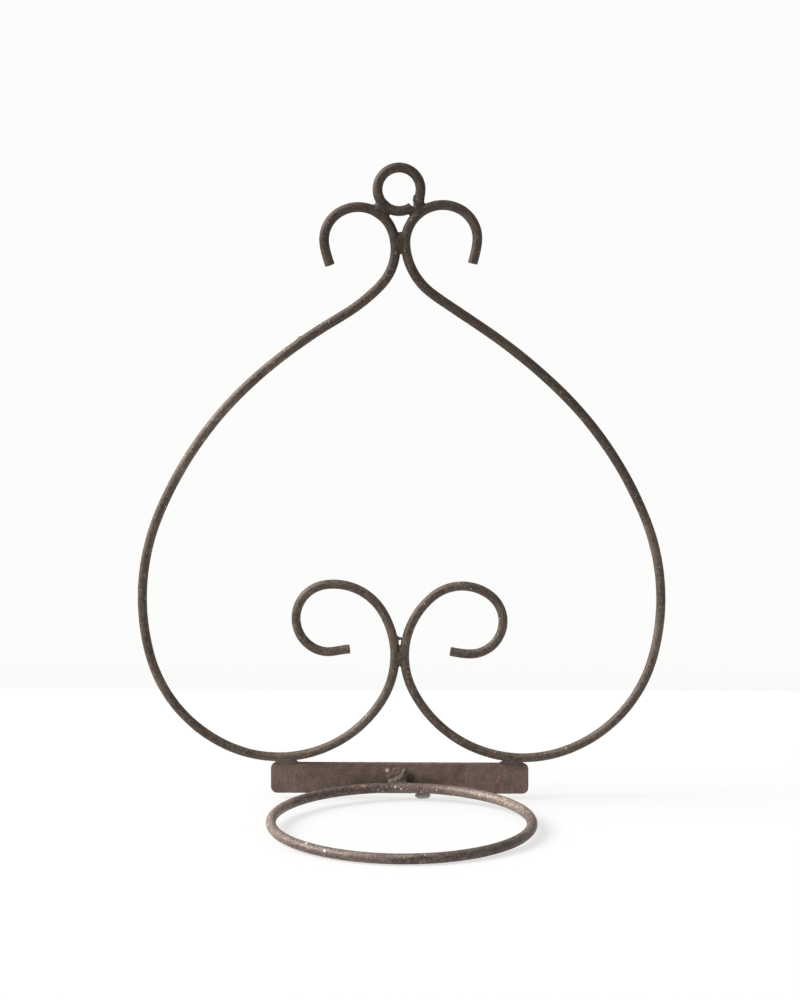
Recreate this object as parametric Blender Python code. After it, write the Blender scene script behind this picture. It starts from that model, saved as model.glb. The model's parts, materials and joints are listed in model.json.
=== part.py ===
"""A wrought-iron wall bracket that carries one plant pot.

Two rods are bent into scrolls and welded together at a neck and at a waist, so that they
make an upside-down heart. A small ring on top hangs on a nail, a flat strip closes the
bottom, and a large ring on the front of the strip takes the pot.

Sizes are millimetres, and the finished objects are in metres. The frame stands in the XZ
plane with the wall behind it at +Y. The origin is the middle of the strip's bottom edge.
"""

import math

import bmesh
import bpy
import numpy as np
from mathutils import Matrix, Vector

MM = 0.001

# Stock
ROD_DIAMETER = 5.0
POT_ROD_DIAMETER = 5.4
STRIP_THICKNESS = 3.0

# Base strip
STRIP_LENGTH = 138.5
STRIP_HEIGHT = 16.8
STRIP_CORNER_RADIUS = 3.4

# Pot ring
POT_RING_HOLE = 124.3
POT_RING_BACK_HEIGHT = 4.0  # centreline at the back, above the foot
POT_RING_OFFSET = 1.5  # sideways from the middle of the strip

# Hanging ring
HANGING_RING_HOLE = 17.6
HANGING_RING_SPLIT = 0.6  # slit where the bent rod's two ends meet
HANGING_RING_SPLIT_AT = -42.0  # degrees from +X, so at the lower right

# Each scroll's bend table, from its hook's end to its curl's end: length of rod in
# millimetres, and the degrees that it turns over that length. The two were bent by hand
# over the same pattern, so they differ a little. They are drawn for the right-hand side.
LEFT_BENDS = (
    (10.9, 12.0), (20.5, 70.0), (33.5, 100.5), (30.0, 63.0), (27.0, 16.0),
    (54.0, -11.0), (92.0, -26.5), (76.0, -37.0), (68.0, -52.0), (93.5, -82.0),
    (50.5, -63.5), (35.5, -67.0), (45.5, -143.0), (11.0, -39.0), (8.5, 5.0),
)  # fmt: skip
RIGHT_BENDS = (
    (10.8, 8.5), (23.0, 76.0), (40.0, 117.0), (30.5, 50.5), (30.0, 1.0),
    (54.0, -10.5), (82.5, -24.0), (75.5, -37.0), (73.5, -57.0), (94.0, -81.5),
    (56.0, -77.5), (33.0, -77.5), (44.5, -145.5), (9.5, -8.0),
)  # fmt: skip

# Clearances
FIT_GAP = 0.3  # between pieces that touch on the real bracket
LOBE_SEAT = 0.4  # lowest point of a scroll above the strip

# Weld beads: half sizes across the joint, front to back, and along the joint
RING_BEAD = (2.6, 2.2, 6.4)
NECK_BEAD = (2.3, 1.5, 5.8)
NECK_BEAD_LIFT = 1.9  # the bead's middle above the narrowest point of the neck
WAIST_BEAD = (2.3, 1.5, 6.0)
WAIST_BEAD_LIFT = 2.8  # the bead's middle above the narrowest point of the waist
STRIP_BEAD = (2.0, 1.5, 6.3)
STRIP_BEAD_INSET = 3.6  # from a lobe's lowest point towards the middle
POT_RING_BEAD = (5.6, 1.7, 5.4)
POT_RING_BEAD_SHIFT = -3.0  # sideways from the middle of the strip
BEAD_DEPTH = 0.64  # a front bead's middle, in rod radii in front of the rods' plane

# Finish of the solids
CHORD_ERROR = 0.06  # how far a straight facet may leave its arc
ROD_SIDES = 12
END_CHAMFER = 0.4
CORNER_STEPS = 6
BEAD_SEGMENTS = 14
BEAD_RINGS = 9

# What follows from the sizes above
ROD_RADIUS = ROD_DIAMETER / 2
POT_ROD_RADIUS = POT_ROD_DIAMETER / 2
WALL_Y = STRIP_THICKNESS / 2  # strip and rods lie flush against the wall
ROD_Y = WALL_Y - ROD_RADIUS
STRIP_FRONT_Y = WALL_Y - STRIP_THICKNESS
JOINT_HALF = ROD_RADIUS + FIT_GAP / 2
HANGING_RING_RADIUS = (HANGING_RING_HOLE + ROD_DIAMETER) / 2
POT_RING_RADIUS = (POT_RING_HOLE + POT_ROD_DIAMETER) / 2


def clear_scene():
    for obj in list(bpy.data.objects):
        bpy.data.objects.remove(obj)


def iron(name, colour, roughness):
    material = bpy.data.materials.new(name)
    material.use_nodes = True
    shader = material.node_tree.nodes["Principled BSDF"]
    shader.inputs["Base Color"].default_value = (*colour, 1.0)
    shader.inputs["Roughness"].default_value = roughness
    shader.inputs["Metallic"].default_value = 0.6
    return material


def facet_angle(radius):
    """The turn, in radians, over which a chord leaves an arc of this radius by CHORD_ERROR."""
    return 2 * math.acos(1 - CHORD_ERROR / radius)


def bent(bends):
    """Points of a rod's centreline in its own plane, as it comes off the bending jig."""
    points = [np.zeros(2)]
    heading = math.pi / 2
    for length, degrees in bends:
        turn = math.radians(degrees)
        radius = length / turn
        steps = max(2, math.ceil(abs(turn) / facet_angle(abs(radius))))
        start = points[-1]
        for step in range(1, steps + 1):
            angle = heading + turn * step / steps
            moved = (math.sin(angle) - math.sin(heading), math.cos(heading) - math.cos(angle))
            points.append(start + radius * np.array(moved))
        heading += turn
    return np.array(points)


def turned(points, angle):
    cos, sin = math.cos(angle), math.sin(angle)
    return points @ np.array([[cos, sin], [-sin, cos]])


def stood_up(points):
    """The scroll turned and moved until its neck and its waist lie against the joint plane
    X = 0, and its lobe's lowest point sits on the strip."""
    hook_half = len(points) // 2
    for _ in range(12):
        neck = points[points[:hook_half, 0].argmin()]
        waist = points[hook_half + points[hook_half:, 0].argmin()]
        points = turned(points, math.atan2(neck[0] - waist[0], neck[1] - waist[1]))
    low = np.array([points[:, 0].min(), points[:, 1].min()])
    seat = np.array([JOINT_HALF, STRIP_HEIGHT + LOBE_SEAT + ROD_RADIUS])
    return points - low + seat


def nearest(path, place):
    """The point of a centreline that is nearest to a place."""
    return path[np.hypot(*(path - place).T).argmin()]


def ring_seat(left, right):
    """Centre of the hanging ring, where it rests in the dip between the two hooks."""
    reach = HANGING_RING_RADIUS + ROD_DIAMETER + FIT_GAP
    centre = np.array([0.0, left[:, 1].max() + reach / 2])
    for _ in range(200):
        for path in (left, right):
            away = centre - nearest(path, centre)
            distance = np.hypot(*away)
            centre = centre + away / distance * (reach - distance) / 2
    return centre


def arc_points(centre, radius, start, end, steps):
    """Points in the XZ plane from one angle to another, in radians from +X."""
    angles = np.linspace(start, end, steps + 1)
    return np.stack([centre[0] + radius * np.cos(angles), centre[1] + radius * np.sin(angles)], 1)


def in_frame(points):
    """Points of the XZ plane placed in the plane of the rods."""
    return [Vector((x, ROD_Y, z)) for x, z in points]


def new_object(name, mesh_builder, material):
    """An object whose mesh is built in millimetres and kept in metres."""
    builder = bmesh.new()
    mesh_builder(builder)
    bmesh.ops.scale(builder, vec=(MM, MM, MM), verts=builder.verts)
    bmesh.ops.recalc_face_normals(builder, faces=builder.faces)
    mesh = bpy.data.meshes.new(name)
    builder.to_mesh(mesh)
    builder.free()
    mesh.materials.append(material)
    mesh.shade_smooth()
    mesh.set_sharp_from_angle(angle=math.radians(35))
    obj = bpy.data.objects.new(name, mesh)
    bpy.context.scene.collection.objects.link(obj)
    return obj


def sweep(builder, centres, normal, radius, closed):
    """A round bar along a flat line of points. normal is square to the line's plane."""
    count = len(centres)
    rings = []
    for i, centre in enumerate(centres):
        before = centres[i - 1] if closed or i else centre
        after = centres[(i + 1) % count] if closed or i < count - 1 else centre
        side = (after - before).normalized().cross(normal)
        chamfered = not closed and i in (0, count - 1)
        reach = radius - END_CHAMFER if chamfered else radius
        ring = []
        for k in range(ROD_SIDES):
            angle = 2 * math.pi * k / ROD_SIDES
            spot = centre + reach * (math.cos(angle) * side + math.sin(angle) * normal)
            ring.append(builder.verts.new(spot))
        rings.append(ring)
    pairs = zip(rings, rings[1:] + rings[:1]) if closed else zip(rings, rings[1:])
    for one, other in pairs:
        for k in range(ROD_SIDES):
            after = (k + 1) % ROD_SIDES
            builder.faces.new((one[k], one[after], other[after], other[k]))
    if not closed:
        builder.faces.new(rings[0])
        builder.faces.new(rings[-1])


def with_chamfers(centres):
    """The line with a point added just inside each end, where the end's chamfer starts."""
    first = centres[0] + (centres[1] - centres[0]).normalized() * END_CHAMFER
    last = centres[-1] + (centres[-2] - centres[-1]).normalized() * END_CHAMFER
    return [centres[0], first, *centres[1:-1], last, centres[-1]]


def rod(name, centres, normal, diameter, closed, material):
    centres = centres if closed else with_chamfers(centres)
    return new_object(
        name, lambda builder: sweep(builder, centres, normal, diameter / 2, closed), material
    )


def strip_outline(grow):
    """Corner points of the strip's face, larger all round by grow."""
    half, radius = STRIP_LENGTH / 2, STRIP_CORNER_RADIUS
    inset = half - radius
    corners = (
        (inset, radius, -90),
        (inset, STRIP_HEIGHT - radius, 0),
        (-inset, STRIP_HEIGHT - radius, 90),
        (-inset, radius, 180),
    )
    outline = []
    for x, z, start in corners:
        angles = (math.radians(start), math.radians(start + 90))
        outline.extend(arc_points((x, z), radius + grow, *angles, CORNER_STEPS))
    return outline


def flat_bar(builder, grow=0.0):
    """The strip, larger on every side by grow."""
    front, back = STRIP_FRONT_Y - grow, WALL_Y + grow
    verts = [builder.verts.new((x, front, z)) for x, z in strip_outline(grow)]
    face = builder.faces.new(verts)
    made = bmesh.ops.extrude_face_region(builder, geom=[face])["geom"]
    moved = [item for item in made if isinstance(item, bmesh.types.BMVert)]
    bmesh.ops.translate(builder, vec=(0, back - front, 0), verts=moved)


def pot_ring_centres():
    """Centreline of the pot ring: its front rests on the surface that the strip stands on."""
    drop = POT_RING_BACK_HEIGHT - POT_ROD_RADIUS
    dip = math.asin(drop / (2 * POT_RING_RADIUS))
    back_y = STRIP_FRONT_Y - FIT_GAP - POT_ROD_RADIUS
    back = Vector((POT_RING_OFFSET, back_y, POT_RING_BACK_HEIGHT))
    forward = Vector((0, -math.cos(dip), -math.sin(dip)))
    normal = Vector((0, -math.sin(dip), math.cos(dip)))
    steps = math.ceil(2 * math.pi / facet_angle(POT_RING_RADIUS))
    centre = back + POT_RING_RADIUS * forward
    centres = []
    for step in range(steps):
        angle = 2 * math.pi * step / steps
        outward = math.sin(angle) * Vector((1, 0, 0)) - math.cos(angle) * forward
        centres.append(centre + POT_RING_RADIUS * outward)
    return centres, normal


def hanging_ring_centres(centre):
    slit = HANGING_RING_SPLIT / HANGING_RING_RADIUS
    start = math.radians(HANGING_RING_SPLIT_AT) + slit / 2
    steps = math.ceil(2 * math.pi / facet_angle(HANGING_RING_RADIUS))
    return in_frame(arc_points(centre, HANGING_RING_RADIUS, start, start + 2 * math.pi - slit, steps))


def full_ring_centres(centre):
    steps = math.ceil(2 * math.pi / facet_angle(HANGING_RING_RADIUS))
    return in_frame(arc_points(centre, HANGING_RING_RADIUS, 0, 2 * math.pi, steps)[:-1])


def bead(name, place, along, half_sizes, cutters, material):
    """A weld bead: an oval lump, turned so that its length lies along the joint, with a fit
    gap cut in it round each piece that it joins."""
    across, deep, length = half_sizes
    turn = Matrix.Rotation(math.atan2(along[0], along[1]), 4, "Y")

    def lump(builder):
        bmesh.ops.create_uvsphere(
            builder, u_segments=BEAD_SEGMENTS, v_segments=BEAD_RINGS, radius=1.0
        )
        size = Matrix.Diagonal((across, deep, length, 1.0))
        bmesh.ops.transform(
            builder, matrix=Matrix.Translation(place) @ turn @ size, verts=builder.verts
        )

    obj = new_object(name, lump, material)
    for cutter in cutters:
        cut = obj.modifiers.new("clear_" + cutter.name, "BOOLEAN")
        cut.operation = "DIFFERENCE"
        cut.solver = "EXACT"
        cut.object = cutter
    return obj


def as_cutter(obj):
    obj.hide_render = True
    obj.display_type = "WIRE"
    return obj


def make_cutters(scrolls, ring_centre, material):
    """Each welded piece made fatter by the fit gap, to clear the beads round it."""
    cutters = {}
    fat = ROD_DIAMETER + 2 * FIT_GAP
    up = Vector((0, 1, 0))
    for side, path in scrolls.items():
        cutters[side] = rod(f"{side}_scroll_clearance", in_frame(path), up, fat, False, material)
    ring = full_ring_centres(ring_centre)
    cutters["ring"] = rod("hanging_ring_clearance", ring, up, fat, True, material)
    centres, normal = pot_ring_centres()
    fat_pot = POT_ROD_DIAMETER + 2 * FIT_GAP
    cutters["pot_ring"] = rod("pot_ring_clearance", centres, normal, fat_pot, True, material)
    cutters["strip"] = new_object(
        "base_strip_clearance", lambda builder: flat_bar(builder, FIT_GAP), material
    )
    for cutter in cutters.values():
        as_cutter(cutter)
    return cutters


def middle_of_joint(left, right, half):
    """Point midway between the two scrolls where they come closest, in one half of each."""
    picked = []
    for path in (left, right):
        stretch = path[: len(path) // 2] if half == "hook" else path[len(path) // 2 :]
        picked.append(stretch[np.abs(stretch[:, 0]).argmin()])
    return (picked[0] + picked[1]) / 2


def make_ring_beads(scrolls, ring_centre, cutters, material):
    for side, path in scrolls.items():
        touch = nearest(path, ring_centre)
        outward = (touch - ring_centre) / np.hypot(*(touch - ring_centre))
        surfaces = (HANGING_RING_RADIUS + np.hypot(*(touch - ring_centre))) / 2
        x, z = ring_centre + outward * surfaces
        bead(
            f"ring_weld_{side}", Vector((x, ROD_Y, z)), (outward[1], -outward[0]), RING_BEAD,
            (cutters["ring"], cutters[side]), material,
        )  # fmt: skip


def make_scroll_beads(scrolls, cutters, material):
    both = (cutters["left"], cutters["right"])
    front = ROD_Y - BEAD_DEPTH * ROD_RADIUS
    for name, half, sizes, lift in (
        ("neck_weld", "hook", NECK_BEAD, NECK_BEAD_LIFT),
        ("waist_weld", "curl", WAIST_BEAD, WAIST_BEAD_LIFT),
    ):
        x, z = middle_of_joint(scrolls["left"], scrolls["right"], half)
        bead(name, Vector((x, front, z + lift)), (0, 1), sizes, both, material)


def make_strip_beads(scrolls, cutters, material):
    for side, path in scrolls.items():
        x = path[path[:, 1].argmin(), 0]
        x -= math.copysign(STRIP_BEAD_INSET, x)
        place = Vector((x, STRIP_FRONT_Y - STRIP_BEAD[1] / 2, STRIP_HEIGHT + LOBE_SEAT / 2))
        bead(
            f"strip_weld_{side}", place, (1, 0), STRIP_BEAD,
            (cutters["strip"], cutters[side]), material,
        )  # fmt: skip


def make_pot_ring_bead(cutters, material):
    height = POT_RING_BACK_HEIGHT + POT_ROD_RADIUS + POT_RING_BEAD[2] / 2
    place = Vector((POT_RING_BEAD_SHIFT, STRIP_FRONT_Y - POT_RING_BEAD[1] / 2, height))
    cut_by = (cutters["strip"], cutters["pot_ring"])
    bead("pot_ring_weld", place, (0, 1), POT_RING_BEAD, cut_by, material)


def main():
    clear_scene()
    frame_iron = iron("frame_iron", (0.055, 0.040, 0.033), 0.62)
    strip_iron = iron("strip_iron", (0.115, 0.085, 0.070), 0.66)
    pot_ring_iron = iron("pot_ring_iron", (0.150, 0.115, 0.095), 0.60)
    weld_iron = iron("weld_iron", (0.085, 0.062, 0.054), 0.70)

    up = Vector((0, 1, 0))
    mirrored = stood_up(bent(LEFT_BENDS)) * np.array([-1.0, 1.0])
    scrolls = {"left": mirrored, "right": stood_up(bent(RIGHT_BENDS))}
    for side, path in scrolls.items():
        rod(f"{side}_scroll", in_frame(path), up, ROD_DIAMETER, False, frame_iron)
    ring_centre = ring_seat(scrolls["left"], scrolls["right"])
    ring = hanging_ring_centres(ring_centre)
    rod("hanging_ring", ring, up, ROD_DIAMETER, False, frame_iron)
    new_object("base_strip", flat_bar, strip_iron)
    centres, normal = pot_ring_centres()
    rod("pot_ring", centres, normal, POT_ROD_DIAMETER, True, pot_ring_iron)

    cutters = make_cutters(scrolls, ring_centre, weld_iron)
    make_ring_beads(scrolls, ring_centre, cutters, weld_iron)
    make_scroll_beads(scrolls, cutters, weld_iron)
    make_strip_beads(scrolls, cutters, weld_iron)
    make_pot_ring_bead(cutters, weld_iron)


main()
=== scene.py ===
"""The looks of a wrought-iron wall holder for one plant pot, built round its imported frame.

Every rod, the strip and every weld is rebuilt here with the surface of hand-worked, long
oxidised iron. Each rod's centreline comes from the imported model. The few shifts made for
looks only, up to a few tenths of a millimetre, are named below. Shapes are worked out in
millimetres and written to their meshes in metres.
"""

import json
import math

import bpy
import numpy as np
from mathutils import Matrix, Vector, noise

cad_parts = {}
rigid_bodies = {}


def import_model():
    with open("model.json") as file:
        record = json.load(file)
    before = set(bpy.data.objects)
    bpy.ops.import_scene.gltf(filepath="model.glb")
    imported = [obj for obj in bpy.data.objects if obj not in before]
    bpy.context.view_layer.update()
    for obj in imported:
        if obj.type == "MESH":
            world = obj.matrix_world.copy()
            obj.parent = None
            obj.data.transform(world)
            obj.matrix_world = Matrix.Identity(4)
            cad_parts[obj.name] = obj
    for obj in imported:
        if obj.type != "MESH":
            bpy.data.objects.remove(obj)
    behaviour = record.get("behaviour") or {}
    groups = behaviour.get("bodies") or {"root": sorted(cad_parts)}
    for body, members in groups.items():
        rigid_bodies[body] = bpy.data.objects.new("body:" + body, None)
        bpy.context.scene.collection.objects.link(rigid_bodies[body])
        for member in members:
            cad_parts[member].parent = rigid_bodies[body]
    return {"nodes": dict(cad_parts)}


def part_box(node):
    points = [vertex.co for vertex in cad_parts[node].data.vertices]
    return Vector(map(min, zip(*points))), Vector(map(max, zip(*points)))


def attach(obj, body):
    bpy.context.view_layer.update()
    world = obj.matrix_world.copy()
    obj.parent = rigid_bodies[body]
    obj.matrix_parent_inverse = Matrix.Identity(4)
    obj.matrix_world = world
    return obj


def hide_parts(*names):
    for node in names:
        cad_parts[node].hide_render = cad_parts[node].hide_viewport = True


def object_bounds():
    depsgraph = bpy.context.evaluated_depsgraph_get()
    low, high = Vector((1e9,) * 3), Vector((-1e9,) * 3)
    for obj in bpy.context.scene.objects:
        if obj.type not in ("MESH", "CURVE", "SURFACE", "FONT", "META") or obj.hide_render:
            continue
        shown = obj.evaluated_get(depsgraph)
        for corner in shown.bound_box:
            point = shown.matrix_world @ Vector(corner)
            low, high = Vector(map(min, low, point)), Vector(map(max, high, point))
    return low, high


MM = 0.001

# Stock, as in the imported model
ROD_RADIUS = 2.5
POT_ROD_RADIUS = 2.7
STRIP_CORNER_RADIUS = 3.4
END_CHAMFER = 0.4

# Swept rods
ROD_STEP = 0.6  # along the rod
ROD_SIDES = 32
END_ROUNDING = 0.45
CAP_RINGS = 4

# The scrolls' rod is a little stouter at the hooks than at the foot, as the bar was drawn
THIN_AT_FOOT = 0.955
STOUT_AT_TOP = 1.05

# Hanging ring: an arc and a straight leg that comes down on the right-hand hook
RING_END_ANGLE = -54.0  # degrees from +X, where the arc's free end lies
RING_LEG_ANGLE = -368.0  # where the arc turns into the leg
RING_LEG_LENGTH = 6.4
RING_ROD_RADIUS = 2.62
RING_DROP = 0.2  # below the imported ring

# Pot ring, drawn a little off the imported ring
POT_RING_SHIFT = 0.2
POT_RING_LEAN = 0.0035  # down per mm towards +X
POT_ROD_SHARE = (0.955, 0.035, 0.02)  # of its stock: overall, more at the back and the right

# Unevenness of the worked surface: wavelength and height
FORGE_WAVE = (13.0, 0.050)
SCALE_WAVE = (2.6, 0.030)
PIT_WAVE = (1.1, 0.022)
BURR = (-53.2, -1.0, 244.2)  # a small burr on the left shoulder's outer side
BURR_SIZE = 0.9
BURR_HEIGHT = 0.55

# Strip
STRIP_STEP = 0.45
STRIP_EDGE_ROUNDING = 0.55
STRIP_WORN = 0.2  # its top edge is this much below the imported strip's
STRIP_WAVE = (4.2, 0.07)
STRIP_NET = (1.03, 1.0)  # how far its net goes beyond it, below and above

# Welds
WELD_STEP = 0.3
WELD_WAVE = (1.7, 0.11)
POT_WELD_WAVE = (1.9, 0.20)
RIM_SINK = 0.9  # how far a weld has sunk below the bars at its rim
BAR_WELD = {"core": 0.55, "swell": 0.10}  # bar to bar
STRIP_WELD = {"core": 0.5, "web_blend": 0.9}  # bar to strip
POT_RING_BACK = (-16, 14, 0.4)  # X from, X to and step of the ring that its weld takes in
NET_MARGIN = 0.5  # of a weld's net beyond the weld
BAR_MARGIN = 4.0  # of the bars that a weld's field takes in

# Photograph's viewpoint
CAMERA_DISTANCE = 0.9
CAMERA_HEIGHT = 0.2247
CAMERA_SIDE = 0.55  # degrees round towards +X
CAMERA_PITCH = 4.23  # degrees down
CAMERA_ROLL = 0.10
CAMERA_LENS = 61.12

# Table, in metres. The holder is taken as tipped forward onto its ring, over a dark dab.
TABLE_BACK = 0.357  # its far edge behind the holder
TABLE_SIZE = 6.0
PROPPED_UP = 0.003  # the strip's foot above the table
RESTS_AT = -0.137  # Y of the ring's front, which touches it
# The dark dab: a grey lump on the table under the strip's middle; what it is isn't known.
DARK_DAB_AT = (0.0122, 0.0010)
DARK_DAB_SIZE = (0.0040, 0.0018)
DARK_DAB_ROWS, DARK_DAB_COLUMNS = 6, 24
DARK_DAB_GREY = (0.34, 0.34, 0.33, 1.0)
COVE_HEIGHT = 0.026

# Light. The backdrop looks brighter than it shines.
WINDOW_STRENGTH = 5.5
WINDOW_SPREAD = 34.0  # degrees
WINDOW_AT = (-0.80, -0.08, 0.58)  # the way to it from the holder
ROOM_LIGHT = 0.50
BACKDROP_LOOKS = 0.972
BACKDROP_SHADED = 0.952  # at the table's far edge
TABLE_BASE = 0.20
TABLE_GLOW = 0.672


# ---------------------------------------------------------------- lines and rods


def node_points(name):
    """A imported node's vertices in millimetres, each place once."""
    found = {
        tuple(round(value / MM, 3) for value in vertex.co)
        for vertex in frame["nodes"][name].data.vertices
    }
    return np.array(sorted(found))


def chained(points):
    """Points put in order from one end of their line to the other, nearest first."""
    middle = points.mean(0)
    apart = np.linalg.norm(points[:, None] - points[None], axis=2)
    np.fill_diagonal(apart, np.inf)
    # An end has both of its nearest neighbours on the same side.
    nearest = np.argsort(apart, axis=1)[:, :2]
    first, second = (points[nearest[:, k]] - points for k in (0, 1))
    turn = (first * second).sum(1) / np.linalg.norm(first, axis=1) / np.linalg.norm(second, axis=1)
    ends = np.flatnonzero(turn > 0.5)
    here = ends[np.argmax(np.linalg.norm(points[ends] - middle, axis=1))] if len(ends) else 0
    order, left = [here], set(range(len(points))) - {here}
    while left:
        here = min(left, key=lambda other: apart[order[-1], other])
        order.append(here)
        left.remove(here)
    return points[order]


def rod_line(name):
    """Centreline of a flat-bent rod: its back line of vertices lies straight behind it."""
    points = node_points(name)
    back = points[:, 1].max()
    on_back = np.abs(points[:, 1] - back) < 0.02
    on_end = np.abs(points[:, 1] - (back - END_CHAMFER)) < 0.02
    line = chained(points[on_back | on_end])
    line[:, 1] = back - ROD_RADIUS
    return line


def resampled(points, step):
    """The same line as a smooth curve, with a point every step."""
    at = np.r_[0, np.cumsum(np.linalg.norm(np.diff(points, axis=0), axis=1))]
    slope = np.gradient(points, at, axis=0, edge_order=2)
    places = np.linspace(0, at[-1], math.ceil(at[-1] / step) + 1)
    i = np.clip(np.searchsorted(at, places, side="right") - 1, 0, len(at) - 2)
    gap = (at[i + 1] - at[i])[:, None]
    u = (places - at[i])[:, None] / gap
    return (
        (1 + 2 * u) * (1 - u) ** 2 * points[i]
        + u * (1 - u) ** 2 * gap * slope[i]
        + u**2 * (3 - 2 * u) * points[i + 1]
        + u**2 * (u - 1) * gap * slope[i + 1]
    )


def waves(points, wavelength, seed=0.0):
    """Smooth noise between about -1 and 1 at each point."""
    shift = Vector((seed * 17.3, seed * 5.9, seed * 11.1))
    return np.array([noise.noise(Vector(p) / wavelength + shift) for p in points])


def worked_surface(points, seed):
    """How far hand-worked bar stands out at each point, in millimetres."""
    total = FORGE_WAVE[1] * waves(points, FORGE_WAVE[0], seed)
    total += SCALE_WAVE[1] * waves(points, SCALE_WAVE[0], seed + 1)
    pits = waves(points, PIT_WAVE[0], seed + 2)
    total += PIT_WAVE[1] * np.minimum(pits, 0.1) * 2
    from_burr = ((points - np.array(BURR)) ** 2).sum(1)
    return total + BURR_HEIGHT * np.exp(-from_burr / BURR_SIZE**2)


def swept(line, normal, radii, closed, seed):
    """Vertices, faces and rod coordinates of a round bar along a flat line."""
    count = len(line)
    if closed:
        tangent = np.roll(line, -1, 0) - np.roll(line, 1, 0)
    else:
        tangent = np.gradient(line, axis=0)
    tangent /= np.linalg.norm(tangent, axis=1)[:, None]
    side = np.cross(tangent, normal)
    angles = np.arange(ROD_SIDES) * 2 * math.pi / ROD_SIDES
    around = (
        np.cos(angles)[None, :, None] * side[:, None]
        + np.sin(angles)[None, :, None] * np.asarray(normal)[None, None]
    )
    radii = np.broadcast_to(np.asarray(radii, float), (count,))[:, None, None]
    points = line[:, None] + radii * around
    bumps = worked_surface(points.reshape(-1, 3), seed).reshape(count, ROD_SIDES, 1)
    points = points + bumps * around
    along = np.r_[0, np.cumsum(np.linalg.norm(np.diff(line, axis=0), axis=1))]
    marks = np.empty((count, ROD_SIDES, 3))
    marks[..., 0] = along[:, None]
    marks[..., 1] = ROD_RADIUS * np.cos(angles)
    marks[..., 2] = ROD_RADIUS * np.sin(angles)
    faces = []
    for i in range(count if closed else count - 1):
        one, other = i * ROD_SIDES, (i + 1) % count * ROD_SIDES
        for k in range(ROD_SIDES):
            after = (k + 1) % ROD_SIDES
            faces.append((one + k, one + after, other + after, other + k))
    return points.reshape(-1, 3), faces, marks.reshape(-1, 3)


def capped(line, points, faces, marks):
    """A swept bar closed at both ends with a slightly uneven sawn face."""
    points, marks = list(points), list(marks)
    last = (len(line) - 1) * ROD_SIDES
    for start, centre, flip in ((0, line[0], False), (last, line[-1], True)):
        rim = np.arange(start, start + ROD_SIDES)
        for ring in range(1, CAP_RINGS + 1):
            share = 1 - ring / CAP_RINGS
            if ring == CAP_RINGS:
                new = [len(points)] * ROD_SIDES
                points.append(np.array(centre))
                marks.append(marks[start])
            else:
                new = list(range(len(points), len(points) + ROD_SIDES))
                for k in range(ROD_SIDES):
                    points.append(centre + share * (points[start + k] - centre))
                    marks.append(marks[start + k])
            for k in range(ROD_SIDES):
                after = (k + 1) % ROD_SIDES
                face = [rim[k], new[k], new[after], rim[after]]
                face = face[::-1] if flip else face
                faces.append(tuple(dict.fromkeys(int(corner) for corner in face)))
            rim = new
    return np.array(points), faces, np.array(marks)


def end_rounded(line, radii):
    """Radii that round off the edge of each end, with points added there to carry it."""
    steps = END_ROUNDING * (1 - np.cos(np.linspace(0, math.pi / 2, 5)))
    drop = END_ROUNDING - np.sqrt(np.maximum(END_ROUNDING**2 - (END_ROUNDING - steps) ** 2, 0))
    head = (line[1] - line[0]) / np.linalg.norm(line[1] - line[0])
    tail = (line[-2] - line[-1]) / np.linalg.norm(line[-2] - line[-1])
    starts = [line[0] + head * step for step in steps]
    ends = [line[-1] + tail * step for step in steps[::-1]]
    whole = np.array([*starts, *line[1:-1], *ends])
    sizes = np.r_[radii[0] - drop, radii[1:-1], radii[-1] - drop[::-1]]
    return whole, sizes


# ---------------------------------------------------------------- solids from fields


def surface_net(field, low, high, step):
    """Vertices and faces where a distance field is nought, inside a box."""
    axes = [np.arange(low[k], high[k] + step, step) for k in range(3)]
    grid = np.stack(np.meshgrid(*axes, indexing="ij"), -1)
    shape = grid.shape[:3]
    values = field(grid.reshape(-1, 3)).reshape(shape)
    cells = tuple(n - 1 for n in shape)
    total = np.zeros((*cells, 3))
    count = np.zeros(cells)
    for axis in range(3):
        others = [k for k in range(3) if k != axis]
        for da in (0, 1):
            for db in (0, 1):
                shift = [0, 0, 0]
                shift[others[0]], shift[others[1]] = da, db
                near = tuple(slice(shift[k], shift[k] + cells[k]) for k in range(3))
                far_shift = list(shift)
                far_shift[axis] += 1
                far = tuple(slice(far_shift[k], far_shift[k] + cells[k]) for k in range(3))
                a, b = values[near], values[far]
                crossing = (a < 0) != (b < 0)
                share = np.where(crossing, a / np.where(crossing, a - b, 1), 0)
                spot = grid[near].copy()
                spot[..., axis] += share * step
                total += spot * crossing[..., None]
                count += crossing
    used = count > 0
    index = np.full(cells, -1)
    index[used] = np.arange(used.sum())
    points = total[used] / count[used][:, None]
    faces = []
    for axis in range(3):
        b_axis, c_axis = (axis + 1) % 3, (axis + 2) % 3
        swapped = np.moveaxis(values, (axis, b_axis, c_axis), (0, 1, 2))
        numbers = np.moveaxis(index, (axis, b_axis, c_axis), (0, 1, 2))
        a, b = swapped[:-1, 1:-1, 1:-1], swapped[1:, 1:-1, 1:-1]
        for outward in (True, False):
            hit = (a < 0) & (b >= 0) if outward else (a >= 0) & (b < 0)
            i, j, k = np.nonzero(hit)
            quad = [numbers[i, j, k], numbers[i, j + 1, k], numbers[i, j + 1, k + 1], numbers[i, j, k + 1]]
            quad = quad if outward else quad[::-1]
            faces.extend(zip(*(corner.tolist() for corner in quad)))
    return points, faces


def rod_field(points, line, radius):
    """Distance from a round bar along a densely sampled line."""
    best = np.full(len(points), np.inf)
    for centre in line:
        best = np.minimum(best, ((points - centre) ** 2).sum(1))
    return np.sqrt(best) - radius


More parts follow.
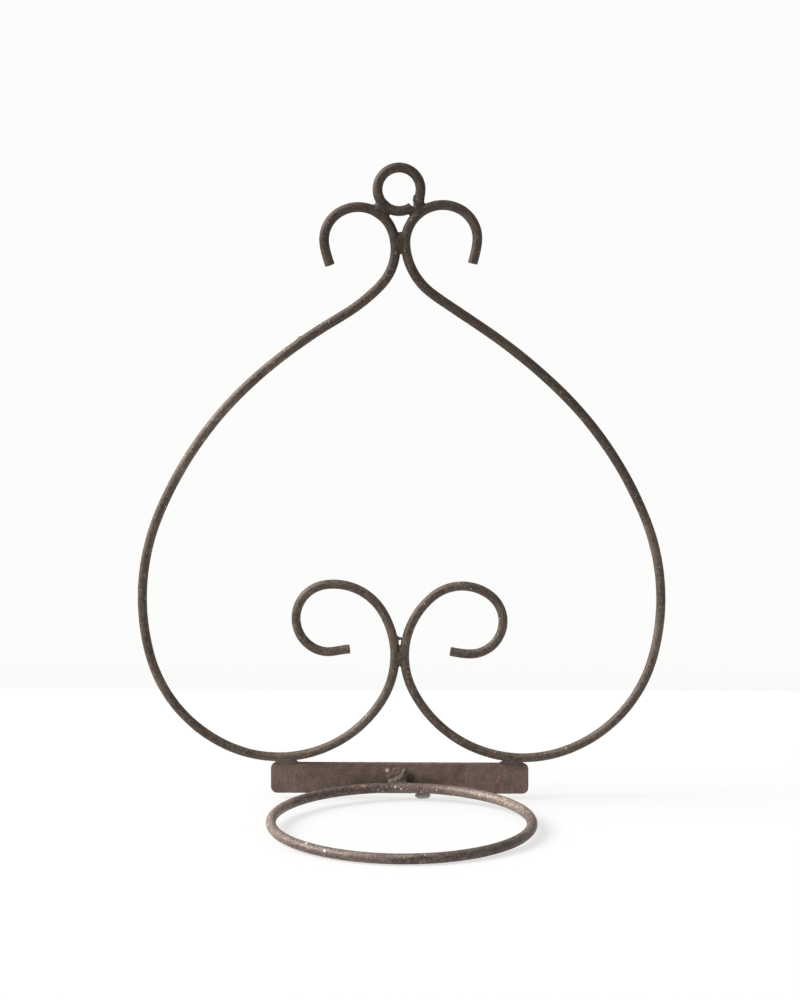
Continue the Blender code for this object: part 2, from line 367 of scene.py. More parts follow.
def lump_field(points, centre, sizes, angle=0.0):
    """Roughly the distance from an oval lump, turned in the XZ plane by angle degrees."""
    away = points - np.array(centre)
    cos, sin = math.cos(math.radians(angle)), math.sin(math.radians(angle))
    x = cos * away[:, 0] + sin * away[:, 2]
    z = -sin * away[:, 0] + cos * away[:, 2]
    scaled = np.stack([x / sizes[0], away[:, 1] / sizes[1], z / sizes[2]], 1)
    reach = np.linalg.norm(scaled, axis=1)
    slope = np.linalg.norm(scaled / np.array(sizes), axis=1)
    return np.where(slope > 1e-9, reach * (reach - 1) / np.maximum(slope, 1e-9), -min(sizes))


def plate_field(points, low, high, corner, edge):
    """Distance from a plate with round corners in the XZ plane and softened edges."""
    middle, half = (low + high) / 2, (high - low) / 2
    x = np.abs(points[:, 0] - middle[0]) - (half[0] - corner)
    z = np.abs(points[:, 2] - middle[2]) - (half[2] - corner)
    outline = np.hypot(np.maximum(x, 0), np.maximum(z, 0)) + np.minimum(np.maximum(x, z), 0) - corner
    depth = np.abs(points[:, 1] - middle[1]) - half[1]
    outline, depth = outline + edge, depth + edge
    outside = np.hypot(np.maximum(outline, 0), np.maximum(depth, 0))
    return outside + np.minimum(np.maximum(outline, depth), 0) - edge


def joined(a, b, blend):
    """Two fields joined with a fillet."""
    share = np.clip(0.5 + 0.5 * (b - a) / blend, 0, 1)
    return b + (a - b) * share - blend * share * (1 - share)


def fading(points, centre, near, far):
    """1 near a place, 0 beyond far, smoothly."""
    reach = np.linalg.norm(points - np.array(centre), axis=1)
    share = np.clip((far - reach) / (far - near), 0, 1)
    return share * share * (3 - 2 * share)


def normals_of(points, faces):
    quads = points[np.array(faces)]
    flat = np.cross(quads[:, 2] - quads[:, 0], quads[:, 3] - quads[:, 1])
    total = np.zeros_like(points)
    for corner in range(4):
        np.add.at(total, np.array(faces)[:, corner], flat)
    return total / np.maximum(np.linalg.norm(total, axis=1), 1e-12)[:, None]


def roughened(points, faces, wave, seed):
    """A net pushed in and out along its normals, as run and spattered metal is."""
    push = wave[1] * waves(points, wave[0], seed)
    push += 0.35 * wave[1] * waves(points, wave[0] * 0.4, seed + 1)
    return points + normals_of(points, faces) * push[:, None]


# ---------------------------------------------------------------- pieces


def new_piece(name, node, slot_name, points, faces, marks=None, finish=None):
    """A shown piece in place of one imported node, kept inside that model's box."""
    low, high = (np.array(corner) / MM for corner in cad_box)
    points = np.clip(points, low + 0.01, high - 0.01)
    mesh = bpy.data.meshes.new(name)
    mesh.from_pydata((points * MM).tolist(), [], faces)
    mesh.validate()
    if marks is not None:
        along = mesh.attributes.new("rod_place", "FLOAT_VECTOR", "POINT")
        along.data.foreach_set("vector", marks.reshape(-1).astype(np.float32))
    mesh.materials.append(materials[finish or slot_name])
    mesh.shade_smooth()
    obj = bpy.data.objects.new(name, mesh)
    bpy.context.scene.collection.objects.link(obj)
    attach(obj, "root")
    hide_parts(node)
    return obj


def bar(name, node, slot_name, line, radii, seed):
    line, radii = end_rounded(line, radii)
    points, faces, marks = swept(line, (0, 1, 0), radii, False, seed)
    points, faces, marks = capped(line, points, faces, marks)
    return new_piece(name, node, slot_name, points, faces, marks)


def scroll(side, line, seed):
    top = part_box("hanging_ring")[1].z / MM
    radii = ROD_RADIUS * (THIN_AT_FOOT + (STOUT_AT_TOP - THIN_AT_FOOT) * line[:, 2] / top)
    bar(f"{side}_scroll_bar", f"{side}_scroll", "frame_iron", line, radii, seed)


def ring_line():
    """The hanging ring as it was bent: round from its free end, then straight down."""
    low, high = (np.array(corner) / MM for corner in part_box("hanging_ring"))
    radius = (high[2] - low[2]) / 2 - ROD_RADIUS
    centre = (low + high) / 2 - np.array([0, 0, RING_DROP])
    angles = np.radians(np.arange(RING_END_ANGLE, RING_LEG_ANGLE, -2.0))
    arc = [centre + radius * np.array([math.cos(a), 0, math.sin(a)]) for a in angles]
    last = math.radians(RING_LEG_ANGLE)
    down = np.array([math.sin(last), 0, -math.cos(last)])
    start = centre + radius * np.array([math.cos(last), 0, math.sin(last)])
    leg = [start + down * reach for reach in np.arange(0, RING_LEG_LENGTH, 0.5)]
    return resampled(np.array(arc + leg), ROD_STEP)


def hanging_ring(line):
    bar("hanging_ring_bar", "hanging_ring", "frame_iron", line, np.full(len(line), RING_ROD_RADIUS), 7)


def pot_ring():
    """The big ring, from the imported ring's own plane and radius."""
    points = node_points("pot_ring")
    centre = points.mean(0)
    normal = np.linalg.svd(points - centre)[2][2]
    normal *= np.sign(normal[2])
    off_plane = (points - centre) @ normal
    reach = np.linalg.norm(points - centre - off_plane[:, None] * normal, axis=1)
    radius = (reach.min() + reach.max()) / 2
    right = np.cross((0, 1, 0), normal)
    right /= np.linalg.norm(right)
    back = np.cross(normal, right)
    steps = math.ceil(2 * math.pi * radius / ROD_STEP)
    angles = np.arange(steps) * 2 * math.pi / steps
    line = centre + radius * (np.cos(angles)[:, None] * right + np.sin(angles)[:, None] * back)
    line += np.array([POT_RING_SHIFT, 0, 0])
    line[:, 2] -= POT_RING_LEAN * (line[:, 0] - centre[0])
    share, at_back, at_right = POT_ROD_SHARE
    sizes = POT_ROD_RADIUS * (share + at_back * np.sin(angles) + at_right * np.cos(angles))
    points, faces, marks = swept(line, normal, sizes, True, 11)
    return new_piece("pot_ring_bar", "pot_ring", "pot_ring_iron", points, faces, marks)


def base_strip():
    low, high = strip_box()

    def field(points):
        return plate_field(points, low, high, STRIP_CORNER_RADIUS, STRIP_EDGE_ROUNDING)

    points, faces = surface_net(field, low - STRIP_NET[0], high + STRIP_NET[1], STRIP_STEP)
    points = roughened(points, faces, STRIP_WAVE, 21)
    return new_piece("base_strip_bar", "base_strip", "strip_iron", points, faces)


def near_part(line, centre, reach):
    return line[np.linalg.norm(line - np.array(centre), axis=1) < reach]


def bars_joined(bars, centre, half, blend):
    """The field of bars run together near a place."""
    reach = np.linalg.norm(half) + BAR_MARGIN

    def field(points):
        total = None
        for line, radius in bars:
            one = rod_field(points, near_part(line, centre, reach), radius)
            total = one if total is None else joined(total, one, blend)
        return total

    return field


def bar_on_strip(bar_line, radius, centre, half, blend):
    """The field of a bar run together with the strip."""
    low, high = strip_box()
    only_bar = bars_joined([(bar_line, radius)], centre, half, blend)

    def field(points):
        plate = plate_field(points, low, high, STRIP_CORNER_RADIUS, STRIP_EDGE_ROUNDING)
        return joined(only_bar(points), plate, blend)

    return field


def weld(
    name, centre, half, base, webs, pits=(), *, seed, web_blend, core, swell, wave=WELD_WAVE, finish=None
):
    """A weld: the run-together bars with lumps of metal added and pits left. Away from its
    core the surface sinks below the bars' own."""
    centre, half = np.array(centre), np.array(half)

    def field(points):
        total = base(points)
        for lump in webs:
            total = joined(total, lump_field(points, *lump), web_blend)
        show = fading(centre + (points - centre) / half, centre, core, 1.0)
        total = total - swell * show + RIM_SINK * (1 - show)
        for pit in pits:
            total = np.maximum(total, -lump_field(points, *pit))
        return total

    corners = (centre - half - NET_MARGIN, centre + half + NET_MARGIN)
    points, faces = surface_net(field, *corners, WELD_STEP)
    points = roughened(points, faces, wave, seed)
    return new_piece(f"{name}_bead", name, "weld_iron", points, faces, finish=finish)


def scroll_welds(left, right):
    """The neck and the waist: metal run in between the two scrolls, nearly flush."""
    y = left[0][1]
    z = box_middle("neck_weld")[2]
    centre, half = (0, y, z - 0.4), (6.5, 4.5, 9.5)
    radius = ROD_RADIUS * STOUT_AT_TOP
    weld(
        "neck_weld", centre, half, bars_joined([(left, radius), (right, radius)], centre, half, 1.5),
        webs=[((-0.1, y - 0.7, z - 0.2), (2.3, 1.85, 5.3))],
        pits=[((-0.4, y - 2.9, z + 4.0), (0.9, 1.5, 0.9))],
        seed=31, web_blend=1.05, **BAR_WELD,
    )  # fmt: skip
    z = box_middle("waist_weld")[2]
    centre, half = (0, y, z + 1.0), (6.5, 4.5, 13.0)
    radius = ROD_RADIUS * 0.98
    weld(
        "waist_weld", centre, half, bars_joined([(left, radius), (right, radius)], centre, half, 1.5),
        webs=[
            ((0, y - 0.6, z - 0.6), (2.2, 1.8, 4.6)),
            ((-1.7, y - 0.3, z + 9.0), (1.5, 1.1, 1.3), -25),
            ((0.2, y - 0.2, z + 8.6), (0.8, 0.7, 0.42), 0),
        ],
        pits=[
            ((-0.4, y - 3.0, z + 2.9), (0.75, 1.8, 1.9)),
            ((0.25, y, z + 7.0), (0.55, 4.0, 0.85)),
        ],
        seed=37, web_blend=1.05, **BAR_WELD,
    )  # fmt: skip


def ring_welds(left, right, ring):
    """The hanging ring's two seats. The right one also takes the ring's own ends."""
    y = left[0][1]
    ring_centre = box_middle("hanging_ring")
    held = ring[4:]  # leaves the bar's free end as it was cut
    half, blend = (9.0, 4.5, 9.0), 1.35
    ring_ends = ((7.7, y, 316.2), (1.1, 2.0, 3.2), 10)
    for side, line, shift, extra, seed in (
        ("left", left, (-1.0, 0.6), [], 41),
        ("right", right, (-0.3, 0.0), [ring_ends], 47),
    ):
        place = box_middle(f"ring_weld_{side}") + np.array([shift[0], 0, shift[1]])
        centre = (place[0], y, place[2])
        angle = math.degrees(math.atan2(place[2] - ring_centre[2], place[0] - ring_centre[0]))
        bars = [(line, ROD_RADIUS * STOUT_AT_TOP), (held, RING_ROD_RADIUS)]
        weld(
            f"ring_weld_{side}", centre, half, bars_joined(bars, centre, half, blend),
            webs=[(centre, (1.9, 2.3, 4.4), angle), *extra],
            seed=seed, web_blend=blend * 0.7, **BAR_WELD,
        )  # fmt: skip


def box_middle(node):
    low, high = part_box(node)
    return np.array((low + high) / 2) / MM


def strip_box():
    low, high = (np.array(corner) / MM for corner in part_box("base_strip"))
    return low, high - np.array([0, 0, STRIP_WORN])


def strip_welds(left, right):
    """A run of weld under each lobe, filling the groove between rod and strip."""
    top = strip_box()[1][2]
    half = (9.0, 4.5, 2.5)
    for side, line, reach, seed in (("left", left, 0.2, 51), ("right", right, -1.4, 57)):
        x = box_middle(f"strip_weld_{side}")[0] + reach
        y = line[0][1]
        centre = (x, y, top + 0.7)
        weld(
            f"strip_weld_{side}", centre, half, bar_on_strip(line, ROD_RADIUS, centre, half, 0.7),
            webs=[((x, y - 0.1, top + 0.5), (6.8, 1.35, 0.9))],
            seed=seed, **STRIP_WELD, swell=0.02, finish="strip_weld_iron",
        )  # fmt: skip


def pot_ring_back():
    """The part of the pot ring's centreline that lies by the strip."""
    low, high = (np.array(corner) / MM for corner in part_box("pot_ring"))
    radius = (high[0] - low[0]) / 2 - POT_ROD_RADIUS
    middle = (low[0] + high[0]) / 2
    back, height = high[1] - POT_ROD_RADIUS, high[2] - POT_ROD_RADIUS
    return np.array([
        (x, back - radius + math.sqrt(radius**2 - (x - middle) ** 2), height)
        for x in np.arange(*POT_RING_BACK)
    ])  # fmt: skip


def pot_ring_weld():
    """The pot ring's only hold: a lumpy patch with one proud ridge down its right side."""
    face = strip_box()[0][1]
    x, _, z = box_middle("pot_ring_weld")
    centre, half = (x + 1.4, face, z), (9.5, 4.5, 8.5)
    webs = [
        ((x - 3.6, face, z + 3.4), (2.2, 1.1, 1.7)),
        ((x - 1.6, face, z + 0.6), (2.6, 0.9, 1.9), 20),
        ((x + 1.9, face, z + 1.6), (3.6, 1.1, 2.4), -10),
        ((x + 5.3, face - 0.3, z + 1.8), (1.0, 1.3, 3.2), -22),
        ((x + 2.9, face - 0.7, z - 1.2), (2.6, 1.4, 1.6), 25),
        ((x + 0.4, face - 0.9, z - 3.2), (3.6, 1.6, 1.9)),
        ((x + 5.2, face - 1.0, z - 3.4), (2.9, 1.3, 1.9)),
    ]
    pits = [
        ((x + 1.4, face - 1.0, z + 3.2), (1.3, 0.6, 0.8)),
        ((x + 7.6, face - 2.2, z - 1.2), (1.2, 1.5, 1.0)),
    ]
    weld(
        "pot_ring_weld", centre, half, bar_on_strip(pot_ring_back(), POT_ROD_RADIUS, centre, half, 1.4),
        webs, pits, seed=61, **STRIP_WELD, swell=0.06, wave=POT_WELD_WAVE,
        finish="pot_weld_iron",
    )  # fmt: skip


# ---------------------------------------------------------------- materials


class Tree:
    """Short calls for building a material's nodes."""

    def __init__(self, name):
        self.material = bpy.data.materials.new(name)
        self.material.use_nodes = True
        self.nodes = self.material.node_tree.nodes
        self.links = self.material.node_tree.links
        self.shader = self.nodes["Principled BSDF"]

    def put(self, socket, value):
        if isinstance(value, bpy.types.NodeSocket):
            self.links.new(value, socket)
        elif isinstance(value, tuple) and len(value) == 3 and socket.type == "RGBA":
            socket.default_value = (*value, 1.0)
        else:
            socket.default_value = value

    def node(self, kind, inputs=None, **settings):
        node = self.nodes.new(kind)
        for key, value in settings.items():
            setattr(node, key, value)
        for key, value in (inputs or {}).items():
            self.put(node.inputs[key], value)
        return node

    def noise(self, vector, scale, detail=4.0, roughness=0.6):
        inputs = {"Vector": vector, "Scale": scale, "Detail": detail, "Roughness": roughness}
        return self.node("ShaderNodeTexNoise", inputs).outputs["Fac"]

    def range(self, value, low, high, to_low=0.0, to_high=1.0):
        inputs = {0: value, 1: low, 2: high, 3: to_low, 4: to_high}
        return self.node("ShaderNodeMapRange", inputs, interpolation_type="SMOOTHSTEP").outputs[0]

    def math(self, operation, a, b=0.0):
        return self.node("ShaderNodeMath", {0: a, 1: b}, operation=operation).outputs[0]

    def vector(self, operation, a, b=(0.0, 0.0, 0.0)):
        node = self.node("ShaderNodeVectorMath", {0: a, 1: b}, operation=operation)
        return node.outputs["Value" if operation == "LENGTH" else "Vector"]

    def mix(self, share, a, b, blend="MIX"):
        node = self.node("ShaderNodeMix", data_type="RGBA", blend_type=blend)
        self.put(node.inputs[0], share)
        self.put(node.inputs[6], a)
        self.put(node.inputs[7], b)
        return node.outputs[2]


def spot_mask(tree, place, centre, sizes, ragged):
    """1 inside an oval round a place on the object, with a ragged edge."""
    away = tree.vector("SUBTRACT", place, tuple(value * MM for value in centre))
    scaled = tree.vector("MULTIPLY", away, tuple(1 / (size * MM) for size in sizes))
    reach = tree.math("ADD", tree.vector("LENGTH", scaled), ragged)
    return tree.range(reach, 1.25, 0.75)


def iron(
    name, dark, middle, light, dust_and_top_light, specks, spots=(), clusters=(), streak=None, sheen=0.58, fade=None
):
    """Long oxidised iron: mottled browns, lengthwise streaks, pale dust and painted light from above
    on what faces up, flecks of lime and old paint, spots where rust or scratches show, and
    spots of painted light and shade."""
    tree = Tree(name)
    place = tree.node("ShaderNodeTexCoord").outputs["Object"]
    mottle = tree.noise(place, 330.0, 7.0, 0.66)
    patches = tree.noise(place, 42.0, 3.0, 0.5)
    grain = tree.noise(place, 1000.0, 4.0, 0.72)
    colour = tree.mix(tree.range(mottle, 0.40, 0.60), dark, middle)
    colour = tree.mix(tree.math("MULTIPLY", tree.range(patches, 0.45, 0.7), 0.5), colour, light)
    colour = streaked(tree, place, colour, dark, light, streak)
    colour = tree.mix(tree.range(grain, 0.53, 0.66, 0.0, 0.85), colour, light)
    colour = tree.mix(tree.range(grain, 0.47, 0.34, 0.0, 0.85), colour, dark)
    colour = dusted_and_top_lit(tree, colour, grain, *dust_and_top_light)
    colour = flecked(tree, place, colour, specks, clusters)
    colour = spotted(tree, place, colour, spots)
    if fade:
        colour = faded(tree, place, colour, *fade)
    tree.put(tree.shader.inputs["Base Color"], colour)
    rusty_surface(tree, mottle, grain, sheen)
    return tree.material


def dusted_and_top_lit(tree, colour, grain, paint, strength):
    """Pale dust and painted light from above on what faces up, thinner over the dark grains."""
    normal = tree.node("ShaderNodeNewGeometry").outputs["Normal"]
    upward = tree.node("ShaderNodeSeparateXYZ", {0: normal}).outputs[2]
    facing_up_share = tree.math("MULTIPLY", tree.range(upward, 0.1, 1.0), tree.range(grain, 0.35, 0.6))
    return tree.mix(tree.math("MULTIPLY", facing_up_share, strength), colour, paint)


def spotted(tree, place, colour, spots):
    """Paint, rust and dark patches at chosen places, and painted light and shade."""
    ragged = tree.range(tree.noise(place, 1500.0, 2.0), 0.3, 0.7, -0.35, 0.35)
    for centre, sizes, paint, strength in spots:
        mask = spot_mask(tree, place, centre, sizes, ragged)
        colour = tree.mix(tree.math("MULTIPLY", mask, strength), colour, paint)
    return colour


def faded(tree, place, colour, start, end, tint):
    """Darker from one height on the slant to the next."""
    along = tree.node("ShaderNodeVectorMath", {0: place, 1: DARKENS_TOWARDS}, operation="DOT_PRODUCT")
    share = tree.range(along.outputs["Value"], start * MM, end * MM)
    return tree.mix(share, colour, tree.mix(1.0, colour, tint, "MULTIPLY"))


def rusty_surface(tree, mottle, grain, sheen):
    """Dull, uneven gloss and a fine rough relief."""
    rough = tree.math(
        "ADD", tree.range(mottle, 0.35, 0.65, -0.08, 0.08),
        tree.range(grain, 0.3, 0.7, sheen - 0.06, sheen + 0.08),
    )  # fmt: skip
    tree.put(tree.shader.inputs["Roughness"], rough)
    tree.shader.inputs["Metallic"].default_value = 0.25
    height = tree.math("ADD", tree.math("MULTIPLY", mottle, 0.6), tree.math("MULTIPLY", grain, 0.4))
    bump = tree.node("ShaderNodeBump", {"Height": height, "Strength": 0.7, "Distance": 0.4 * MM})
    tree.put(tree.shader.inputs["Normal"], bump.outputs["Normal"])


def streaked(tree, place, colour, dark, light, streak):
    """Drawn lines: along a rod, or up and down the strip's sawn and wiped face."""
    if streak == "rod":
        along = tree.node("ShaderNodeAttribute", attribute_name="rod_place").outputs["Vector"]
        lines = tree.noise(tree.vector("MULTIPLY", along, (0.16, 1.3, 1.3)), 1.0, 5.0, 0.65)
    elif streak == "upright":
        lines = tree.noise(tree.vector("MULTIPLY", place, (1100.0, 300.0, 120.0)), 1.0, 5.0, 0.6)
    else:
        return colour
    weight = 0.65 if streak == "rod" else 0.4
    colour = tree.mix(tree.range(lines, 0.51, 0.66, 0.0, weight), colour, light)
    return tree.mix(tree.range(lines, 0.47, 0.34, 0.0, weight), colour, dark)


def flecked(tree, place, colour, specks, clusters):
    """Small scattered flecks in three paints. Only some cells of the pattern hold one, and
    more of them do in a cluster."""
    ragged = tree.range(tree.noise(place, 2600.0, 2.0), 0.3, 0.7, 0.55, 1.5)
    crowd = 0.0
    for centre, sizes, extra in clusters:
        mask = spot_mask(tree, place, centre, sizes, 0.0)
        crowd = tree.math("ADD", crowd, tree.math("MULTIPLY", mask, extra))
    for scale, share, size, paints in specks:
        cells = tree.node("ShaderNodeTexVoronoi", {"Vector": place, "Scale": scale, "Randomness": 1.0})
        pick = tree.node("ShaderNodeSeparateColor", {0: cells.outputs["Color"]})
        reach = tree.math("MULTIPLY", cells.outputs["Distance"], ragged)
        near = tree.range(reach, size, size * 0.45)
        chosen = tree.math("LESS_THAN", pick.outputs[0], tree.math("ADD", crowd, share))
        mask = tree.math("MULTIPLY", near, chosen)
        paint = tree.mix(tree.math("GREATER_THAN", pick.outputs[1], 0.5), paints[0], paints[1])
        paint = tree.mix(tree.math("GREATER_THAN", pick.outputs[1], 0.8), paint, paints[2])
        weight = tree.math("MULTIPLY", mask, tree.range(pick.outputs[2], 0.0, 1.0, 0.25, 0.9))
        colour = tree.mix(weight, colour, paint)
    return colour


CREAM = (0.74, 0.61, 0.44)
PINK = (0.46, 0.25, 0.20)
ORANGE = (0.42, 0.17, 0.07)
TAN = (0.27, 0.195, 0.14)
LIME_AND_PAINTED_LIGHT = (0.36, 0.29, 0.235)
NEAR_BLACK = (0.020, 0.016, 0.013)
DARKENS_TOWARDS = (0.45, 0.0, 1.0)  # darker towards the top and on the right
DARKER = (150.0, 275.0, (0.63, 0.585, 0.54))


def make_materials():
    sparse = [
        (210.0, 0.05, 0.17, (TAN, PINK, CREAM)),
        (560.0, 0.07, 0.32, (TAN, PINK, ORANGE)),
        (900.0, 0.11, 0.38, (TAN, CREAM, TAN)),
    ]
    faint = [(560.0, 0.025, 0.26, (TAN, ORANGE, TAN))]
    heavy = [
        (260.0, 0.05, 0.17, (CREAM, TAN, PINK)),
        (620.0, 0.06, 0.31, (CREAM, CREAM, PINK)),
        (1000.0, 0.10, 0.38, (CREAM, LIME_AND_PAINTED_LIGHT, TAN)),
    ]
    return {
        "frame_iron": iron(
            "frame_iron", (0.036, 0.025, 0.019), (0.082, 0.058, 0.043), (0.168, 0.121, 0.087),
            ((0.21, 0.162, 0.12), 0.38), sparse, streak="rod", fade=DARKER,
            spots=[
                ((-2.4, -3.5, 288.1), (0.6, 2.0, 0.6), PINK, 0.75),
                ((4.7, -3.0, 66.5), (0.7, 2.0, 0.5), ORANGE, 0.6),
            ],
            clusters=[((-26, -2.0, 264), (30, 8, 24), 0.26), ((-85, -2.0, 215), (50, 8, 50), 0.14)],
        ),
        "strip_iron": iron(
            "strip_iron", (0.092, 0.060, 0.046), (0.152, 0.101, 0.078), (0.206, 0.139, 0.106),
            ((0.24, 0.175, 0.13), 0.30), faint, streak="upright", sheen=0.62,
            spots=[
                ((52.6, -1.5, 7.1), (0.5, 2.0, 1.1), ORANGE, 0.6),
                ((53.2, -1.5, 9.2), (0.3, 2.0, 0.8), TAN, 0.8),
                ((50.9, -1.5, 9.0), (0.3, 2.0, 0.5), ORANGE, 0.5),
                ((35.9, -1.5, 9.8), (0.30, 2.0, 4.2), TAN, 0.55),
                ((-62.4, -1.5, 7.7), (1.6, 2.0, 1.3), TAN, 0.22),
                ((-46.8, -1.5, 2.9), (0.7, 2.0, 1.8), ORANGE, 0.25),
                # a dark patch right of the pot ring weld's ridge
                ((6.1, -1.5, 8.7), (2.4, 2.0, 2.9), NEAR_BLACK, 0.85),
                # a faint dark patch round the pot ring's weld
                ((-2.6, -1.5, 8.5), (6.0, 2.0, 5.0), NEAR_BLACK, 0.22),
            ],
        ),
        "pot_ring_iron": iron(
            "pot_ring_iron", (0.044, 0.028, 0.025), (0.112, 0.076, 0.065), (0.225, 0.165, 0.136),
            ((0.29, 0.225, 0.18), 0.5), heavy, streak="rod", sheen=0.52,
            spots=[
                # painted light on the ring's left side, towards the window
                ((-62.0, -66.0, 5.0), (9.0, 42.0, 5.0), LIME_AND_PAINTED_LIGHT, 0.22),
                # painted light on the ring's back right, whose inner side faces the window
                ((50.0, -38.0, 5.5), (20.0, 24.0, 3.5), LIME_AND_PAINTED_LIGHT, 0.22),
                ((-42.5, -117.9, 5.2), (0.5, 1.0, 0.6), CREAM, 0.9),
                ((-33.6, -126.3, 4.3), (0.45, 0.9, 0.6), CREAM, 0.9),
                ((-2.1, -7.1, 5.0), (0.7, 1.2, 0.6), CREAM, 0.8),
                ((1.1, -7.2, 3.9), (0.6, 1.0, 0.5), CREAM, 0.7),
                ((19.8, -10.0, 4.1), (0.4, 0.8, 0.4), CREAM, 0.7),
                ((-19.1, -9.6, 6.0), (1.6, 1.6, 0.7), PINK, 0.7),
                # painted highlight along the top of the ring's front
                ((3.2, -136.0, 4.6), (4.5, 1.2, 0.4), LIME_AND_PAINTED_LIGHT, 0.35),
                # painted shade on the ring's right front, away from the window
                ((44.0, -118.0, 3.0), (26.0, 22.0, 5.0), NEAR_BLACK, 0.30),
            ],
            clusters=[
                ((53.5, -35.0, 4.0), (14.0, 22.0, 6.0), 0.62),
                ((-61.5, -60.0, 5.0), (9.0, 30.0, 6.0), 0.70),
                ((0.5, -7.0, 4.5), (5.0, 4.0, 2.2), 0.50),
            ],
        ),
        "weld_iron": iron(
            "weld_iron", (0.034, 0.024, 0.019), (0.073, 0.052, 0.040), (0.130, 0.094, 0.071),
            ((0.18, 0.138, 0.105), 0.3), sparse, sheen=0.60, fade=DARKER,
        ),
        "strip_weld_iron": iron(
            "strip_weld_iron", (0.050, 0.034, 0.028), (0.096, 0.066, 0.053), (0.160, 0.112, 0.088),
            ((0.22, 0.165, 0.125), 0.3), sparse, sheen=0.60,
        ),
        "pot_weld_iron": iron(
            "pot_weld_iron", (0.080, 0.053, 0.042), (0.138, 0.095, 0.076), (0.215, 0.158, 0.130),
            ((0.28, 0.22, 0.18), 0.35), faint, sheen=0.66,
            spots=[((-6.5, -2.8, 12.6), (1.0, 2.0, 1.0), (0.42, 0.33, 0.28), 0.85)],
            clusters=[((-0.5, -3.5, 4.5), (4.0, 3.0, 2.0), 0.4)],
        ),
    }  # fmt: skip


# ---------------------------------------------------------------- stage


def make_camera():
    data = bpy.data.cameras.new("camera")
    data.lens = CAMERA_LENS
    data.sensor_width = 36.0
    camera = bpy.data.objects.new("camera", data)
    bpy.context.scene.collection.objects.link(camera)
    side = math.radians(CAMERA_SIDE)
    turn = Matrix.Rotation(side, 4, "Z")
    tilt = Matrix.Rotation(math.radians(90 - CAMERA_PITCH), 4, "X")
    roll = Matrix.Rotation(math.radians(CAMERA_ROLL), 4, "Z")
    place = (CAMERA_DISTANCE * math.sin(side), -CAMERA_DISTANCE * math.cos(side), CAMERA_HEIGHT)
    camera.matrix_world = Matrix.Translation(place) @ turn @ tilt @ roll
    bpy.context.scene.camera = camera


def make_world():
    """Plain white all round: bright to look at, softer as a light."""
    world = bpy.data.worlds.new("studio")
    bpy.context.scene.world = world
    world.use_nodes = True
    nodes, links = world.node_tree.nodes, world.node_tree.links
    seen = nodes.new("ShaderNodeLightPath").outputs["Is Camera Ray"]
    strength = nodes.new("ShaderNodeMapRange")
    links.new(seen, strength.inputs[0])
    strength.inputs[3].default_value = ROOM_LIGHT
    strength.inputs[4].default_value = BACKDROP_LOOKS
    background = nodes["Background"]
    background.inputs["Color"].default_value = (1.0, 1.0, 0.994, 1.0)
    links.new(strength.outputs[0], background.inputs["Strength"])


def make_light():
    """One broad window, to the left and above."""
    data = bpy.data.lights.new("window", "SUN")
    data.energy = WINDOW_STRENGTH
    data.angle = math.radians(WINDOW_SPREAD)
    light = bpy.data.objects.new("window", data)
    bpy.context.scene.collection.objects.link(light)
    light.rotation_mode = "QUATERNION"
    light.rotation_quaternion = Vector(WINDOW_AT).to_track_quat("Z", "Y")


def stage_mesh(name, points, faces, material):
    mesh = bpy.data.meshes.new(name)
    mesh.from_pydata(points, [], faces)
    mesh.materials.append(material)
    obj = bpy.data.objects.new(name, mesh)
    bpy.context.scene.collection.objects.link(obj)
    return mesh


def glowing_white(name, base, strength):
    """Matt white that partly lights itself, so that shadows on it stay pale."""
    tree = Tree(name)
    tree.shader.inputs["Base Color"].default_value = (base, base, base, 1.0)
    tree.shader.inputs["Roughness"].default_value = 0.75
    tree.shader.inputs["Emission Color"].default_value = (1.0, 1.0, 0.99, 1.0)
    tree.shader.inputs["Emission Strength"].default_value = strength
    return tree


def table_height(y):
    return -PROPPED_UP * (y - RESTS_AT) / -RESTS_AT


def make_table():
    half, front = TABLE_SIZE / 2, TABLE_BACK - TABLE_SIZE
    corners = [
        (x, y, table_height(y))
        for x, y in ((-half, front), (half, front), (half, TABLE_BACK), (-half, TABLE_BACK))
    ]
    white = glowing_white("table_white", TABLE_BASE, TABLE_GLOW)
    stage_mesh("table", corners, [(0, 1, 2, 3)], white.material)
    foot = table_height(TABLE_BACK)
    corners = [
        (x, TABLE_BACK, z)
        for x, z in ((-half, foot), (half, foot), (half, foot + COVE_HEIGHT), (-half, foot + COVE_HEIGHT))
    ]
    stage_mesh("cove", corners, [(0, 1, 2, 3)], cove_white(foot))


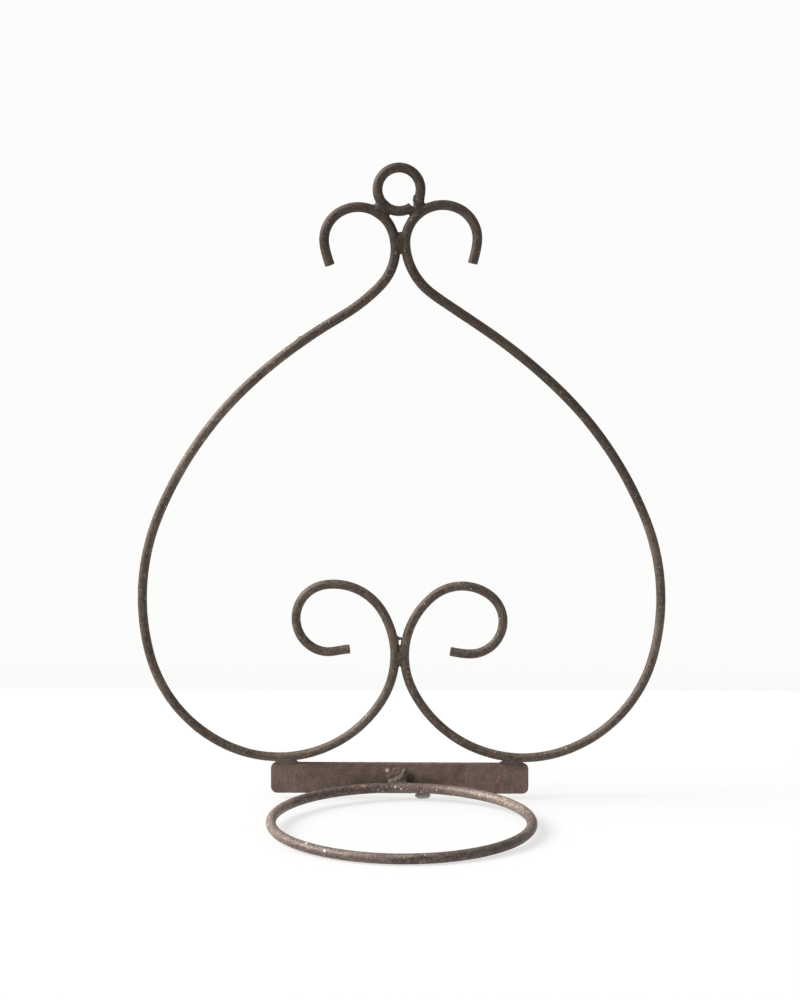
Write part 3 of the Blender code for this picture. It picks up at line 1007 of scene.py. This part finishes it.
def cove_white(foot):
    """Shade low on the backdrop, gone where the strip ends."""
    tree = glowing_white("cove_white", 0.0, 1.0)
    tree.shader.inputs["Specular IOR Level"].default_value = 0.0
    height = tree.node("ShaderNodeSeparateXYZ", {0: tree.node("ShaderNodeTexCoord").outputs["Object"]})
    glow = tree.range(height.outputs[2], foot, foot + COVE_HEIGHT, BACKDROP_SHADED, BACKDROP_LOOKS)
    tree.put(tree.shader.inputs["Emission Strength"], glow)
    return tree.material


def make_dark_dab():
    """The dark dab under the strip, taken as lying on the table and not part of the holder."""
    x, y = DARK_DAB_AT
    low = table_height(y)
    points, faces = [], []
    rows, columns = DARK_DAB_ROWS, DARK_DAB_COLUMNS
    for row in range(rows + 1):
        lift = row / rows
        spread = math.sqrt(1 - (1.6 * lift - 0.7) ** 2)
        for column in range(columns):
            angle = 2 * math.pi * column / columns
            lumpy = spread * (1 + 0.12 * math.sin(3 * angle + 1) + 0.06 * math.sin(7 * angle))
            points.append((
                x + DARK_DAB_SIZE[0] * lumpy * math.cos(angle),
                y + DARK_DAB_SIZE[1] * lumpy * math.sin(angle),
                low * (1 - lift),
            ))  # fmt: skip
    for row in range(rows):
        for column in range(columns):
            after = (column + 1) % columns
            one, other = row * columns, (row + 1) * columns
            faces.append((one + column, one + after, other + after, other + column))
    tree = Tree("dark_dab_grey")
    tree.shader.inputs["Base Color"].default_value = DARK_DAB_GREY
    tree.shader.inputs["Roughness"].default_value = 0.8
    stage_mesh("dark_dab", points, faces, tree.material).shade_smooth()


def main():
    bpy.context.scene.view_settings.view_transform = "Standard"
    left = resampled(rod_line("left_scroll"), ROD_STEP)
    right = resampled(rod_line("right_scroll"), ROD_STEP)
    ring = ring_line()
    scroll("left", left, 1)
    scroll("right", right, 4)
    hanging_ring(ring)
    base_strip()
    pot_ring()
    scroll_welds(left, right)
    ring_welds(left, right, ring)
    strip_welds(left, right)
    pot_ring_weld()
    make_camera()
    make_world()
    make_light()
    make_table()
    make_dark_dab()


for startup in list(bpy.data.objects):
    bpy.data.objects.remove(startup)
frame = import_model()
cad_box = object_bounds()
materials = make_materials()
main()
